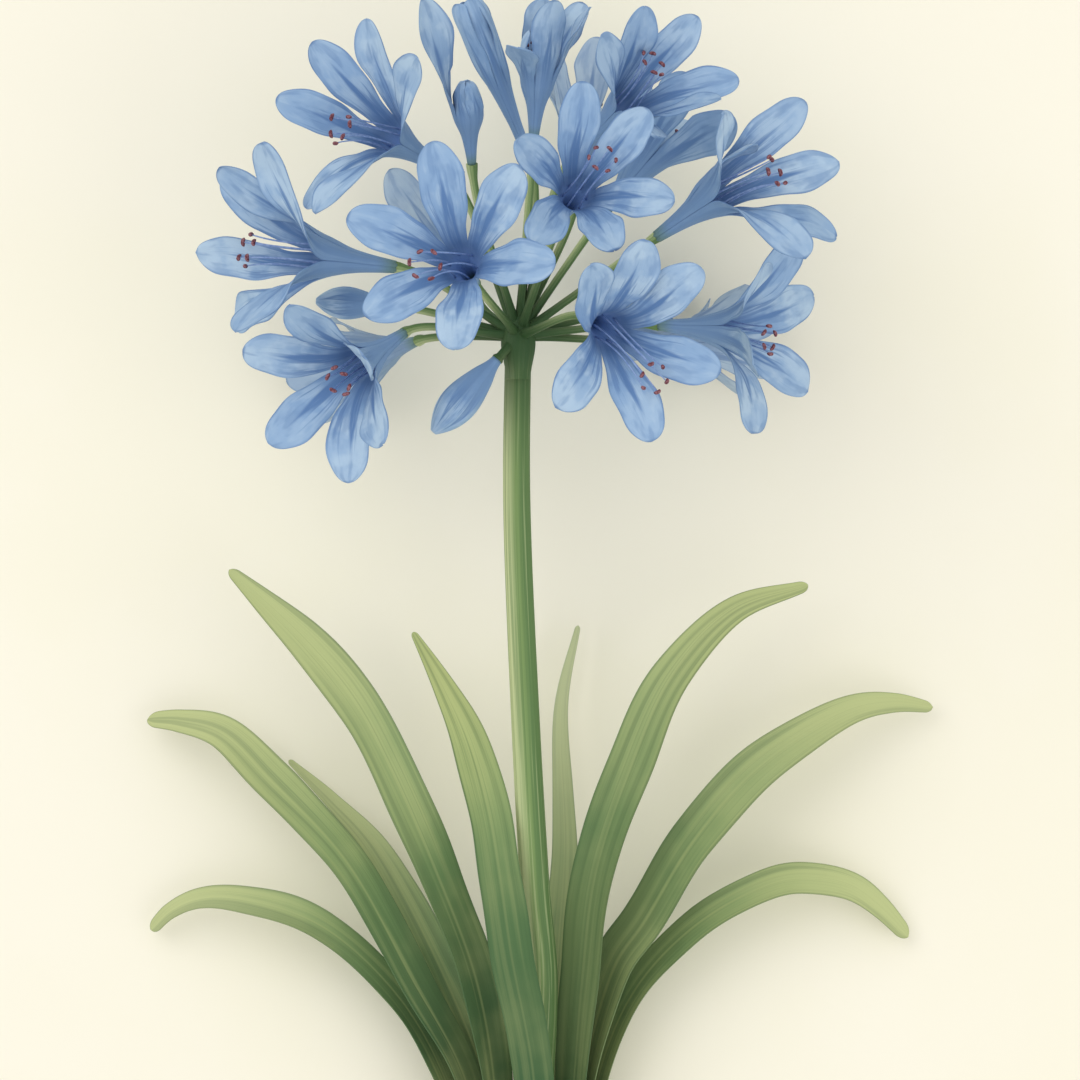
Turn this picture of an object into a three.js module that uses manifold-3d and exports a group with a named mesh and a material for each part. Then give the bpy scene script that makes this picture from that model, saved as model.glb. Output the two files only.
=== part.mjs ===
// Agapanthus plant, cut at the crown and lying on a flat surface, in millimetres, +Z up.
// The scape runs along +Y from the cut crown to the umbel. Every leaf and every floret is a
// closed body of its own, and the scape, the hub and the pedicels are one grown piece.

import * as THREE from 'three';
import Module from 'manifold-3d';

const wasm = await Module();
wasm.setup();

const RAD = Math.PI / 180;
const vec = (x, y, z) => new THREE.Vector3(x, y, z);
const ALONG = vec(0, 1, 0);

// Driving dimensions, measured from the middle of the crown's cut face, on the surface.

const SEAT_GAP = 0.3; // between pieces that meet
const CROWN = { middle: 1.5, length: 16, width: 42, height: 27, sides: 14, bevel: 2.5, flat: 0.62 };
const BASE_Y = CROWN.length + SEAT_GAP;
const HUB = vec(-1, 272.5, 60);

const SCAPE = {
  sides: 12,
  bottomRadius: 5.4,
  topRadius: 3.9,
  steps: 14,
  route: [[2.8, BASE_Y, 13.5], [4.8, 50, 19.5], [6, 80, 25], [4, 106, 31], [1, 160, 42], [-1.5, 225, 52.5]],
};
const HUB_RADIUS = { across: 5.2, along: 8 };
const PEDICEL = { sides: 6, steps: 4, hubRadius: 1.35, endRadius: 1.5, straight: 0.4, arrive: 0.3 };

// A leaf blade: route of its midline from the crown to the tip, its width, the half width of
// its blunt tip, the share of its length that narrows to it, and how far its face leans from
// the vertical towards the scape, in degrees, at the base and at the tip.
const LEAF = { steps: 15, midThickness: 1.7, edgeThickness: 0.8, tipThickness: 0.7 };
const LEAVES = [
  {
    name: 'leaf_left_high', width: 15.8, tip: 1.6, taper: 0.28, lean: [56, 24],
    route: [[-8.3, BASE_Y, 17], [-9.2, 49, 22], [-14.5, 80, 28], [-26, 112, 34], [-40, 144.5, 39],
      [-50.5, 164, 40], [-64.5, 181, 38], [-88, 203, 31]],
  },
  {
    name: 'leaf_left_middle', width: 14, tip: 2.3, taper: 0.28, lean: [60, 24],
    route: [[-12, BASE_Y, 15], [-18, 49, 19], [-34, 80, 23], [-53.6, 115.4, 27], [-76.3, 139.8, 26],
      [-90.5, 153.5, 20], [-104, 157, 13], [-114, 157.3, 7]],
  },
  {
    name: 'leaf_left_low', width: 11, tip: 1.8, taper: 0.4, lean: [58, 26],
    route: [[-16, BASE_Y, 13.5], [-23, 46, 16], [-37.5, 73, 18], [-61, 95, 20], [-85, 103, 17],
      [-98, 103, 13], [-107, 99, 9], [-113, 93, 5]],
  },
  {
    name: 'leaf_left_behind', width: 12, tip: 0.8, taper: 0.6, lean: [20, 5],
    route: [[-5, BASE_Y, 5], [-12, 49, 8], [-26, 84, 11], [-45, 119, 13], [-58, 133, 12], [-71, 145, 9]],
  },
  {
    name: 'leaf_centre', width: 13, tip: 0.9, taper: 0.36, lean: [6, 15],
    route: [[3.5, BASE_Y, 22.5], [3.5, 49, 30], [-3.5, 89, 39], [-6.5, 110, 41], [-10, 131, 40],
      [-16, 152, 36], [-23, 167, 30], [-33, 184, 21]],
  },
  {
    name: 'leaf_centre_behind', width: 9.5, tip: 0.8, taper: 0.7, lean: [-5, -12],
    route: [[7, BASE_Y, 4.5], [9, 50, 7.5], [11, 87, 12], [13, 118, 15], [12, 162, 14], [17, 186, 11]],
  },
  {
    name: 'leaf_right_high', width: 16.3, tip: 1.6, taper: 0.42, lean: [-56, -22],
    route: [[14, BASE_Y, 16.5], [16.4, 50, 20.5], [18.6, 79, 26], [22.5, 112, 32], [32.5, 143, 38],
      [45.3, 171.3, 40], [63.7, 190.8, 36], [86, 198.3, 29]],
  },
  {
    name: 'leaf_right_middle', width: 16.5, tip: 1.6, taper: 0.42, lean: [-57, -22],
    route: [[16.6, BASE_Y, 14], [19.5, 50, 17], [28.5, 83, 21], [37, 96, 23], [52, 121, 26],
      [72, 143.5, 25], [99, 160, 18], [113, 162.5, 12], [125, 161, 7]],
  },
  {
    name: 'leaf_right_low', width: 11, tip: 2.4, taper: 0.3, lean: [-58, -22],
    route: [[19.6, BASE_Y, 12], [24, 50, 14], [35, 76, 16], [54, 96, 18], [77, 108, 17],
      [89, 109, 15], [100, 106.5, 12], [109, 100, 8], [117.6, 91, 5]],
  },
];

// A floret: a tube that widens to its throat and parts into six tepals, with six stamens.
const FLORET = {
  tubeLength: 21, baseRadius: 1.9, throatRadius: 6.4, wall: 0.95, cavityStart: 9.5,
  lobeLength: 35, lobeHalfWidth: 7, waist: 0.45, widest: 0.62, roundness: 2.2, mostTwist: 36,
};
const STAMEN = { radius: 0.65, antherRadius: 1, length: 21, gather: 2.7, spread: 4.4 };

// base: tube base from the hub. facing: azimuth and elevation of the floret's axis, degrees.
// tips: azimuths of the six tepal tips round the axis, seen from its mouth, where zero lies
// level and to the left of the axis. open: how far the tepals bend outward, degrees, and
// bend: what each one adds to that. turn: how far each face turns about its own midline,
// degrees. long: length of each tepal, and broad: width of all six, as shares of the usual
// ones. throat: radius of the throat as a share. sway: where the stamens lean, and how far.
// reach: their height as a share.
const EVEN = [0, 60, 120, 180, 240, 300];
const turned = (start) => EVEN.map((angle) => angle + start);
const FLORETS = [
  {
    name: 'floret_front_left', base: [-12.5, 14, 38], facing: [127, 74], size: 0.97,
    open: 44, tips: [190, 243, 307, 4, 58, 131], bend: [-4, 0, -2, 2, 0, 2], sway: [0, 9],
  },
  {
    name: 'floret_front_top', base: [13, 33.5, 29.5], facing: [56, 69], size: 0.87,
    open: 38, tips: [193, 261, 307, 18, 86, 137], bend: [-2, -1, 2, -8, 8, -1], sway: [262, 7.5],
  },
  {
    name: 'floret_front_right', base: [19, 4, 38.5], facing: [-31, 66], size: 0.93,
    open: 41, tips: [224, 282, 349, 27, 65, 159], bend: [2, -4, -2, 3, -4, 3], sway: [245, 14],
  },
  {
    name: 'floret_left', base: [-36, 20, 5], facing: [173, 18], size: 1.06, broad: 0.82,
    open: 34, tips: [32, 160, 194, 225, 276, 308], bend: [0, 6, -16, 0, -12, 26],
    turn: [50, -48, -30, -25, 20, 20], sway: [275, 7],
  },
  {
    name: 'floret_top_left', base: [-23, 49, 9], facing: [150, 42], size: 0.97, broad: 0.85,
    open: 40, tips: [138, 192, 236, 292, 352, 18], bend: [0, -9, -20, -24, 22, 10],
    turn: [-30, -12, -20, 10, 0, 5], long: [1, 1, 1, 1, 0.85, 1], sway: [355, 6],
  },
  {
    name: 'floret_top_half_open', base: [-13.5, 49, 20], facing: [94, 24], size: 0.72, broad: 1.4,
    open: -26, tips: [15, 51, 119, 187, 255, 323], bend: [26, 0, 0, 0, 0, 0],
    turn: [50, 0, 0, 0, 0, 0], long: [1.53, 0.5, 0.5, 0.5, 0.5, 0.5], sway: [270, 0], reach: 0.45,
  },
  {
    name: 'floret_top', base: [2.7, 53.5, 2], facing: [112, 4], size: 0.87, throat: 0.55,
    open: -6, tips: turned(44), sway: [270, 0], reach: 0.7,
  },
  {
    name: 'floret_top_middle', base: [4.5, 57, 13], facing: [86, 20], size: 0.8,
    open: 8, tips: [10, 68, 112, 170, 224, 270], bend: [-20, 26, -10, 4, 12, -8],
    long: [0.6, 0.7, 1, 0.95, 0.9, 0.85], sway: [270, 0], reach: 0.7,
  },
  {
    name: 'floret_top_right', base: [18.5, 55.5, 8], facing: [40, 37], size: 0.92, broad: 0.88,
    open: 22, tips: [46, 134, 170, 228, 290, 4], bend: [14, 22, -10, 4, -6, -8],
    turn: [45, 0, -20, -15, 10, 45], long: [1, 0.6, 1, 1, 1, 1], sway: [342, 4.5],
  },
  {
    name: 'floret_right', base: [40.5, 28.5, 10], facing: [34, 25], size: 1.04, broad: 0.85,
    open: 32, tips: [56, 150, 218, 244, 296, 342], bend: [4, 19, 28, -4, -20, -40],
    turn: [40, -50, -10, -10, 10, -5], long: [1, 1, 1, 1, 1, 0.55], sway: [200, 4],
  },
  {
    name: 'floret_right_low', base: [41, 3, 4], facing: [-5, 19], size: 0.91,
    open: 46, tips: [161, 236, 296, 351, 52, 111], bend: [8, -5, 0, 0, 2, 0], sway: [110, 7],
  },
  {
    name: 'floret_left_low', base: [-33.5, 0.5, 9], facing: [218, 44], size: 0.95,
    open: 35, tips: [273, 336, 28, 90, 149, 204], bend: [0, 2, -4, 0, 4, -3], sway: [83, 7],
  },
  {
    name: 'floret_back_left', base: [-12.3, 11.3, -20.2], facing: [120, -32], size: 0.86,
    open: 14, tips: turned(18), sway: [270, 2],
  },
  {
    name: 'floret_back_right', base: [25, 36, -6], facing: [54, -16], size: 0.86, broad: 1.15,
    open: 14, tips: turned(15), bend: [0, 0, 12, 0, 0, 0], turn: [0, 0, 35, 0, 0, 0],
    sway: [270, 2],
  },
  {
    name: 'floret_back_top', base: [17.6, 43.2, -17.6], facing: [83, -32], size: 0.86,
    open: 14, tips: turned(31), sway: [270, 2],
  },
  {
    name: 'floret_back_left_low', base: [-29.7, -1, -13.45], facing: [196, -50.6], size: 0.86,
    open: 14, tips: turned(31), sway: [270, 2],
  },
  {
    name: 'floret_back_right_low', base: [38, -1.3, -14.5], facing: [3, -49.6], size: 0.86,
    open: 14, tips: turned(8), sway: [270, 2],
  },
  {
    name: 'floret_back_middle', base: [20.4, 5.5, -7.8], facing: [18.5, -70], size: 0.86,
    open: 14, tips: turned(25), sway: [270, 2],
  },
];
const BUDS = [
  { name: 'bud_low', base: [-6, -7, 6], facing: [229, 10], length: 29, radius: 5.7, sides: 8 },
  { name: 'bud_left', base: [-38, 9, -6], facing: [176, -6], length: 22, radius: 5, sides: 8 },
];

const COLORS = { crown: 0xc9cfa2, leaf: 0x6f9466, scape: 0x86a25a, floret: 0x7f9fd0, bud: 0x7c98c8 };

// Closed bodies

function closedGeometry(points, triangles) {
  const volume = triangles.reduce((sum, [a, b, c]) => {
    const [p, q, r] = [points[a], points[b], points[c]];
    return sum + p.dot(q.clone().cross(r));
  }, 0);
  const faces = volume < 0 ? triangles.map(([a, b, c]) => [a, c, b]) : triangles;
  const geometry = new THREE.BufferGeometry();
  const positions = new Float32Array(points.flatMap((p) => [p.x, p.y, p.z]));
  geometry.setAttribute('position', new THREE.BufferAttribute(positions, 3));
  geometry.setIndex(faces.flat());
  geometry.computeVertexNormals();
  return geometry;
}

// Skins rings of points, each with the same even count, and closes both ends with strips.
// The second half of a ring has its quads split the other way, so that the two faces of a
// thin blade have the same folds.
function loft(rings) {
  const count = rings[0].length;
  const triangles = [];
  for (let row = 0; row < rings.length - 1; row += 1) {
    for (let i = 0; i < count; i += 1) {
      const next = (i + 1) % count;
      const [a, b] = [row * count + i, row * count + next];
      const [d, c] = [a + count, b + count];
      if (i < count / 2) triangles.push([a, b, c], [a, c, d]);
      else triangles.push([a, b, d], [b, c, d]);
    }
  }
  const last = (rings.length - 1) * count;
  for (let i = 0; i < count / 2 - 1; i += 1) {
    const [p, q, r, s] = [i, i + 1, count - 2 - i, count - 1 - i];
    triangles.push([q, p, s], [last + p, last + q, last + s]);
    if (q !== r) triangles.push([q, s, r], [last + q, last + r, last + s]);
  }
  return closedGeometry(rings.flat(), triangles);
}

function toSolid(geometry) {
  return new wasm.Manifold(new wasm.Mesh({
    numProp: 3,
    vertProperties: geometry.attributes.position.array,
    triVerts: new Uint32Array(geometry.index.array),
  }));
}

function toGeometry(solid) {
  const { vertProperties, triVerts, numProp } = solid.getMesh();
  const points = [];
  for (let i = 0; i < vertProperties.length; i += numProp) {
    points.push(vec(vertProperties[i], vertProperties[i + 1], vertProperties[i + 2]));
  }
  const triangles = [];
  for (let i = 0; i < triVerts.length; i += 3) {
    triangles.push([triVerts[i], triVerts[i + 1], triVerts[i + 2]]);
  }
  return closedGeometry(points, triangles);
}

const fuse = (geometries) => toGeometry(
  geometries.map(toSolid).reduce((whole, next) => whole.add(next)),
);

const mix = (a, b, t) => a + (b - a) * t;
const smooth = (t) => {
  const s = Math.min(1, Math.max(0, t));
  return s * s * (3 - 2 * s);
};

function direction(azimuth, elevation) {
  const level = Math.cos(elevation * RAD);
  return vec(
    level * Math.cos(azimuth * RAD), level * Math.sin(azimuth * RAD), Math.sin(elevation * RAD),
  );
}

// Axes across a tangent: level to its right, and the one that is upward from both.
function across(tangent) {
  const right = tangent.clone().cross(vec(0, 0, 1)).normalize();
  return [right, right.clone().cross(tangent)];
}

// A round stalk along a curve, with a radius for each fraction of its length.
function stalk(curve, sides, steps, radius, heading = curve.getTangent(0)) {
  const rings = [];
  for (let step = 0; step <= steps; step += 1) {
    const t = step / steps;
    const centre = curve.getPoint(t);
    const [right, up] = across(step === 0 ? heading : curve.getTangent(t));
    rings.push(Array.from({ length: sides }, (_, i) => {
      const angle = ((i + 0.5) / sides) * 2 * Math.PI;
      return centre.clone()
        .addScaledVector(right, radius(t) * Math.cos(angle))
        .addScaledVector(up, radius(t) * Math.sin(angle));
    }));
  }
  return loft(rings);
}

// Leaves

function leafWidth(leaf, t) {
  const full = (leaf.width / 2) * mix(0.8, 1, smooth(t / 0.35));
  const rest = Math.min(1, (1 - t) / leaf.taper);
  return mix(leaf.tip, full, Math.sin((Math.PI / 2) * rest));
}

function leafGeometry(leaf) {
  const curve = new THREE.CatmullRomCurve3(leaf.route.map((p) => vec(...p)), false, 'centripetal');
  curve.arcLengthDivisions = 400;
  const rings = [];
  for (let step = 0; step <= LEAF.steps; step += 1) {
    const t = step / LEAF.steps;
    const centre = curve.getPointAt(t);
    const tangent = step === 0 ? ALONG : curve.getTangentAt(t);
    const [right, up] = across(tangent);
    const lean = mix(leaf.lean[0], leaf.lean[1], t) * RAD;
    const face = up.clone().multiplyScalar(Math.cos(lean)).addScaledVector(right, Math.sin(lean));
    const side = tangent.clone().cross(face);
    const half = leafWidth(leaf, t);
    const channel = half * mix(0.34, 0.12, t);
    const mid = mix(LEAF.midThickness, LEAF.tipThickness, t) / 2;
    const edge = mix(LEAF.edgeThickness, LEAF.tipThickness, t) / 2;
    const at = (sideways, lift) => centre.clone()
      .addScaledVector(side, sideways).addScaledVector(face, lift);
    rings.push([
      at(-half, channel + edge), at(0, mid), at(half, channel + edge),
      at(half, channel - edge), at(0, -mid), at(-half, channel - edge),
    ]);
  }
  return loft(rings);
}

// Crown: an oval stub, flat underneath, with its edges rounded over.
function crownGeometry() {
  const { middle, length, width, height, sides, bevel, flat } = CROWN;
  const ring = (y, inset) => Array.from({ length: sides }, (_, i) => {
    const angle = ((i + 0.5) / sides) * 2 * Math.PI - Math.PI / 2;
    const x = middle + (width / 2 - inset) * Math.cos(angle);
    const z = (height / 2 / flat - inset) * Math.sin(angle) + height / 2;
    return vec(x, y, Math.min(height, Math.max(0, z)));
  });
  return loft([ring(0, bevel), ring(bevel, 0), ring(length - bevel, 0), ring(length, bevel * 0.4)]);
}

// Scape, hub and pedicels, grown as one piece

function pedicelGeometry(end, facing) {
  const reach = end.length();
  const start = HUB.clone().addScaledVector(end, HUB_RADIUS.across * 0.3 / reach);
  const tip = HUB.clone().add(end);
  const curve = new THREE.CubicBezierCurve3(
    start,
    HUB.clone().addScaledVector(end, PEDICEL.straight),
    tip.clone().addScaledVector(facing, -reach * PEDICEL.arrive),
    tip,
  );
  const radius = (t) => mix(PEDICEL.hubRadius, PEDICEL.endRadius, t ** 3);
  return stalk(curve, PEDICEL.sides, PEDICEL.steps, radius);
}

function scapeGeometry(ends) {
  const route = [...SCAPE.route.map((p) => vec(...p)), HUB.clone()];
  const curve = new THREE.CatmullRomCurve3(route, false, 'centripetal');
  const radius = (t) => mix(SCAPE.bottomRadius, SCAPE.topRadius, t ** 0.8);
  const body = stalk(curve, SCAPE.sides, SCAPE.steps, radius, ALONG);
  return fuse([body, hubGeometry(), ...ends.map(([end, facing]) => pedicelGeometry(end, facing))]);
}

function hubGeometry() {
  const curve = new THREE.LineCurve3(
    HUB.clone().addScaledVector(ALONG, -HUB_RADIUS.along),
    HUB.clone().addScaledVector(ALONG, HUB_RADIUS.along * 0.8),
  );
  const swell = (t) => HUB_RADIUS.across * Math.sin(Math.PI * mix(0.26, 0.86, t));
  return stalk(curve, 10, 4, swell);
}

// Florets

function lobeWidth(v) {
  const { waist, widest, roundness } = FLORET;
  if (v < widest) return mix(waist, 1, smooth(v / widest));
  return Math.sqrt(Math.max(0, 1 - ((v - widest) / (1 - widest)) ** roundness));
}

const LOBE_ROWS = [0.3, 0.62, 0.87, 1];

// Radius, height and slope of a tepal's midline at the fraction v of its length.
function lobeMidline(v, open, length, throatRadius) {
  const start = 10 + 0.25 * open;
  const slope = (u) => (start + open * (1 - (1 - u) ** 1.7)) * RAD;
  const steps = 24;
  const stride = (length * v) / steps;
  let [radius, height] = [throatRadius, FLORET.tubeLength];
  for (let i = 0; i < steps; i += 1) {
    const angle = slope(((i + 0.5) / steps) * v);
    radius += Math.sin(angle) * stride;
    height += Math.cos(angle) * stride;
  }
  return { radius, height, slope: slope(v) };
}

// Midline of the stamen that stands at an angle round the axis, swayed to one side.
function stamenCurve(angle, { sway: [swayAngle, sway], reach = 1, throat = 1 }) {
  const out = vec(Math.cos(angle), Math.sin(angle), 0);
  const pull = vec(Math.cos(swayAngle * RAD), Math.sin(swayAngle * RAD), 0).multiplyScalar(sway);
  const at = (radius, height, share) => out.clone().multiplyScalar(radius * throat)
    .setZ(height).addScaledVector(pull, share);
  const { tubeLength } = FLORET;
  const tall = STAMEN.length * reach;
  return new THREE.CubicBezierCurve3(
    at(FLORET.throatRadius - 2.4, tubeLength - 1, 0),
    at(STAMEN.gather, tubeLength + tall * 0.3, 0.1),
    at(STAMEN.gather, tubeLength + tall * 0.7, 0.5),
    at(STAMEN.spread, tubeLength + tall, 1),
  );
}

const average = (list) => list.reduce((sum, value) => sum + value, 0) / list.length;
const wrapped = (angle) => ((angle + 540) % 360) - 180;

// The azimuth from which the six tepals start evenly round the throat.
function phase({ tips }) {
  return tips[0] + average(tips.map((tip, k) => wrapped(tip - tips[0] - 60 * k)));
}

// The tepals at the sides of a level floret turn their faces upward, in radians.
function sideTwist({ open, facing }, tip) {
  const most = Math.min(FLORET.mostTwist, Math.max(0, open));
  return most * RAD * Math.cos(facing[1] * RAD) * Math.cos(tip * RAD);
}

// How far along a tepal the longer of its two neighbours reaches.
function besideLength({ long = EVEN.map(() => 1) }, k) {
  return Math.max(long[(k + 1) % 6], long[(k + 5) % 6]) / long[k];
}

// Tube, tepals and stamens as one closed body, mouth along +Z.
function floretGeometry(floret) {
  const { tubeLength, baseRadius, wall, cavityStart } = FLORET;
  const throatRadius = FLORET.throatRadius * (floret.throat ?? 1);
  const columns = 12;
  const start = phase(floret);
  const broad = floret.broad ?? 1;
  const points = [];
  const triangles = [];
  const add = (point) => points.push(point) - 1;
  const quad = (a, b, c, d) => triangles.push([a, b, c], [a, c, d]);
  const ring = (height, radius) => Array.from({ length: columns }, (_, i) => {
    const angle = (start + i * 30) * RAD;
    return add(vec(radius * Math.cos(angle), radius * Math.sin(angle), height));
  });

  const bend = { height: tubeLength * 0.6, radius: mix(baseRadius, throatRadius, 0.38) };
  const outer = [ring(0, baseRadius), ring(bend.height, bend.radius), ring(tubeLength, throatRadius)];
  const inner = [
    ring(cavityStart, baseRadius * 0.45),
    ring(tubeLength * 0.74, mix(baseRadius, throatRadius, 0.5) - wall),
    ring(tubeLength, throatRadius - wall),
  ];
  for (let i = 0; i < columns; i += 1) {
    const next = (i + 1) % columns;
    outer.slice(1).forEach((upper, j) => quad(outer[j][i], outer[j][next], upper[next], upper[i]));
    inner.slice(1).forEach((upper, j) => {
      triangles.push([upper[next], inner[j][next], inner[j][i]]);
      const root = [upper[i], upper[next], inner[j][i]];
      if (j === 1 && i % 2 === 0) addStamen(root, i);
      else triangles.push(root);
    });
  }
  for (let i = 1; i < columns - 1; i += 1) {
    triangles.push([outer[0][0], outer[0][i + 1], outer[0][i]]);
    triangles.push([inner[0][0], inner[0][i], inner[0][i + 1]]);
  }

  // Draws a three-sided stamen out of one triangle of the tube's inner wall.
  function addStamen(root, column) {
    const angle = (start + (column + 0.35) * 30) * RAD;
    const curve = stamenCurve(angle, floret);
    const out = vec(Math.cos(angle), Math.sin(angle), 0);
    const side = vec(-Math.sin(angle), Math.cos(angle), 0);
    let below = root;
    [[0.12, STAMEN.radius], [0.55, STAMEN.radius], [0.9, STAMEN.radius], [1, STAMEN.antherRadius]]
      .forEach(([t, radius]) => {
        const centre = curve.getPoint(t);
        const corner = (sideways, outward) => add(
          centre.clone().addScaledVector(side, sideways * radius).addScaledVector(out, outward * radius),
        );
        const above = [corner(-0.87, 0.5), corner(0.87, 0.5), corner(0, -1)];
        for (let i = 0; i < 3; i += 1) {
          const next = (i + 1) % 3;
          quad(below[i], below[next], above[next], above[i]);
        }
        below = above;
      });
    triangles.push(below);
  }

  const [rim, throat] = [outer[2], inner[2]];
  floret.tips.forEach((tip, k) => {
    const base = start + 60 * k;
    const swing = wrapped(tip - base);
    const open = floret.open + (floret.bend?.[k] ?? 0);
    const length = FLORET.lobeLength * (floret.long?.[k] ?? 1);
    const twist = floret.turn ? floret.turn[k] * RAD : sideTwist(floret, tip);
    const beside = besideLength(floret, k);
    const at = [2 * k - 1, 2 * k, 2 * k + 1].map((i) => (i + columns) % columns);
    let back = at.map((i) => rim[i]);
    let front = at.map((i) => throat[i]);
    LOBE_ROWS.forEach((v) => {
      const { radius, height, slope } = lobeMidline(v, open, length, throatRadius);
      const angle = (base + swing * smooth(v / 0.8)) * RAD;
      const outward = vec(Math.cos(angle), Math.sin(angle), 0);
      const level = vec(-Math.sin(angle), Math.cos(angle), 0);
      const square = outward.clone().multiplyScalar(-Math.cos(slope)).setZ(Math.sin(slope));
      const turn = twist * smooth(v / 0.7);
      const face = square.clone().multiplyScalar(Math.cos(turn)).addScaledVector(level, Math.sin(turn));
      const side = level.clone().multiplyScalar(Math.cos(turn)).addScaledVector(square, -Math.sin(turn));
      const room = v > beside ? Infinity : (radius - wall / 2) * 0.48;
      const half = Math.min(room, FLORET.lobeHalfWidth * broad * lobeWidth(v));
      const cup = (0.4 * half * half) / Math.max(radius, half);
      const centre = outward.clone().multiplyScalar(radius).setZ(height);
      const put = (sideways, lift) => add(
        centre.clone().addScaledVector(side, sideways).addScaledVector(face, lift),
      );
      if (v === 1) {
        const [b, f] = [put(0, -wall / 2), put(0, wall / 2)];
        triangles.push([back[0], back[1], b], [back[1], back[2], b]);
        triangles.push([front[1], front[0], f], [front[2], front[1], f]);
        quad(front[0], back[0], b, f);
        quad(back[2], front[2], f, b);
        return;
      }
      const nextBack = [put(-half, cup - wall / 2), put(0, -wall / 2), put(half, cup - wall / 2)];
      const nextFront = [put(-half, cup + wall / 2), put(0, wall / 2), put(half, cup + wall / 2)];
      for (let c = 0; c < 2; c += 1) {
        quad(back[c], back[c + 1], nextBack[c + 1], nextBack[c]);
        triangles.push([front[c + 1], front[c], nextFront[c + 1]]);
        triangles.push([front[c], nextFront[c], nextFront[c + 1]]);
      }
      quad(front[0], back[0], nextBack[0], nextFront[0]);
      quad(back[2], front[2], nextFront[2], nextBack[2]);
      back = nextBack;
      front = nextFront;
    });
  });
  return closedGeometry(points, triangles);
}

function budGeometry({ length, radius, sides }) {
  const swell = (t) => radius * Math.sin(Math.PI * (0.12 + 0.83 * t ** 1.5)) ** 0.9;
  const rings = [0, 0.25, 0.5, 0.72, 0.9, 1].map((t) => {
    const reach = Math.max(0.9, swell(t));
    return Array.from({ length: sides }, (_, i) => {
      const angle = (i / sides) * 2 * Math.PI;
      return vec(reach * Math.cos(angle), reach * Math.sin(angle), length * t);
    });
  });
  return loft(rings);
}

// Assembly

function piece(name, geometry, color, roughness) {
  const material = new THREE.MeshStandardMaterial({
    color, roughness, metalness: 0, side: THREE.DoubleSide,
  });
  const mesh = new THREE.Mesh(geometry, material);
  mesh.name = name;
  return mesh;
}

// Stands a bloom on its pedicel's end, its mouth along its facing.
function bloom(entry, geometry, color) {
  const mesh = piece(entry.name, geometry, color, 0.55);
  const axis = direction(...entry.facing);
  const level = vec(0, 0, 1).cross(axis).normalize();
  const basis = new THREE.Matrix4().makeBasis(level, axis.clone().cross(level), axis);
  mesh.quaternion.setFromRotationMatrix(basis);
  mesh.scale.setScalar(entry.size ?? 1);
  mesh.position.copy(HUB).add(vec(...entry.base)).addScaledVector(axis, SEAT_GAP);
  return mesh;
}

const plant = new THREE.Group();
plant.add(piece('crown', crownGeometry(), COLORS.crown, 0.7));
LEAVES.forEach((leaf) => plant.add(piece(leaf.name, leafGeometry(leaf), COLORS.leaf, 0.5)));
const ends = [...FLORETS, ...BUDS].map(({ base, facing }) => [vec(...base), direction(...facing)]);
plant.add(piece('scape', scapeGeometry(ends), COLORS.scape, 0.5));
FLORETS.forEach((floret) => plant.add(bloom(floret, floretGeometry(floret), COLORS.floret)));
BUDS.forEach((bud) => plant.add(bloom(bud, budGeometry(bud), COLORS.bud)));

// The origin is the middle of the plant's own box, on the surface.
const box = new THREE.Box3().setFromObject(plant, true);
const middle = box.getCenter(vec(0, 0, 0));
plant.position.set(-middle.x, -middle.y, -box.min.z);

const group = new THREE.Group();
group.add(plant);
export default group;
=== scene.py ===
"""Looks of the cut agapanthus plant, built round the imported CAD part.

Shapes are worked out in millimetres from a point on the surface, below the crown's cut face,
with the same named values as the solids, and put into the row frame at the end.
"""

import bpy
import numpy as np
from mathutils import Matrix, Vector


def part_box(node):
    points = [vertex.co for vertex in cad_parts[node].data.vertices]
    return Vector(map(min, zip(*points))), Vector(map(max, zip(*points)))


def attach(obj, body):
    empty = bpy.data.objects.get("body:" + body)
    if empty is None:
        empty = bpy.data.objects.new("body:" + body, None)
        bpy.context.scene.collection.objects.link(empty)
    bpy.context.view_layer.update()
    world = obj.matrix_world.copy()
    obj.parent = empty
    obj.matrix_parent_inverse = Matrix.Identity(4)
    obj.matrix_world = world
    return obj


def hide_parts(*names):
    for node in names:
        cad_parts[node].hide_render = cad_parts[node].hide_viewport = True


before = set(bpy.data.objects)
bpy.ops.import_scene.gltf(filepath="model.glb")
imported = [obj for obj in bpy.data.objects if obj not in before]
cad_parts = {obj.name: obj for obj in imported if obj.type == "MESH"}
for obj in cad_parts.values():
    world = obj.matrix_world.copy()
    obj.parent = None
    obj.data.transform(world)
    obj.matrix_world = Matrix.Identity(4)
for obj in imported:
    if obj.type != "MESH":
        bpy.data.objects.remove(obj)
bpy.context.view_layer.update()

# Driving dimensions: the solids' own, and finer ones that only the scene has ------------

SEAT_GAP = 0.3

# flat: 1 would make its outline an oval, and less makes it squarer. The two sets of flutes round
# it have a depth, a number and a start.
CROWN = {"middle": 1.5, "length": 16, "width": 42, "height": 27, "bevel": 2.5, "flat": 0.625}
CROWN_FLUTES = ((0.35, 17, 0), (0.3, 31, 2))
BASE_Y = CROWN["length"] + SEAT_GAP

HUB = np.array((-1, 272.5, 60.0))
SCAPE_ROUTE = [(2.8, BASE_Y, 13.5), (4.8, 50, 19.5), (6, 80, 25), (4, 106, 31), (1, 160, 42),
               (-1.5, 225, 52.5), tuple(HUB)]
SCAPE_RADIUS = (5.4, 3.9)
HUB_RADIUS = {"across": 5.2, "along": 8}

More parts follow.
